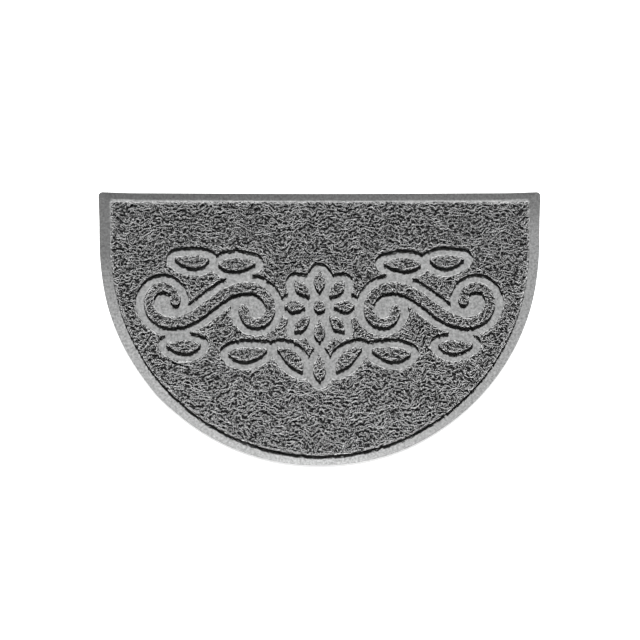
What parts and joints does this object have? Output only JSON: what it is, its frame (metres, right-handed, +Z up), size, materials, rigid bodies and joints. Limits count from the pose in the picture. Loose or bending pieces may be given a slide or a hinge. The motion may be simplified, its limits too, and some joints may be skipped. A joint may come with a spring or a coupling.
{
  "type": "half round doormat",
  "caption": "Half round doormat of grey looped vinyl pile on a smooth vinyl sheet, with a plain pressed border and a raised scroll and leaf ornament.",
  "frame": {"origin": "middle of the mat's bounding box, on its underside", "axes": "+Z up out of the pile, +X along the straight edge, +Y towards the straight edge"},
  "size_m": [0.7528, 0.4654, 0.012],
  "materials": {
    "vinyl_backing": "satin",
    "coil_pile": "satin"
  },
  "bodies": {
    "root": {"backing_sheet": "vinyl_backing", "leaf_left_0": "coil_pile", "leaf_left_1": "coil_pile", "leaf_left_2": "coil_pile", "leaf_left_3": "coil_pile", "leaf_left_4": "coil_pile", "leaf_middle": "coil_pile", "leaf_right_0": "coil_pile", "leaf_right_1": "coil_pile", "leaf_right_2": "coil_pile", "leaf_right_3": "coil_pile", "leaf_right_4": "coil_pile", "petal_0": "coil_pile", "petal_1": "coil_pile", "petal_2": "coil_pile", "petal_3": "coil_pile", "petal_4": "coil_pile", "petal_5": "coil_pile", "petal_6": "coil_pile", "petal_7": "coil_pile", "pile_field": "coil_pile", "rosette_disc": "coil_pile", "scroll_left": "coil_pile", "scroll_right": "coil_pile"}
  },
  "joints": []
}
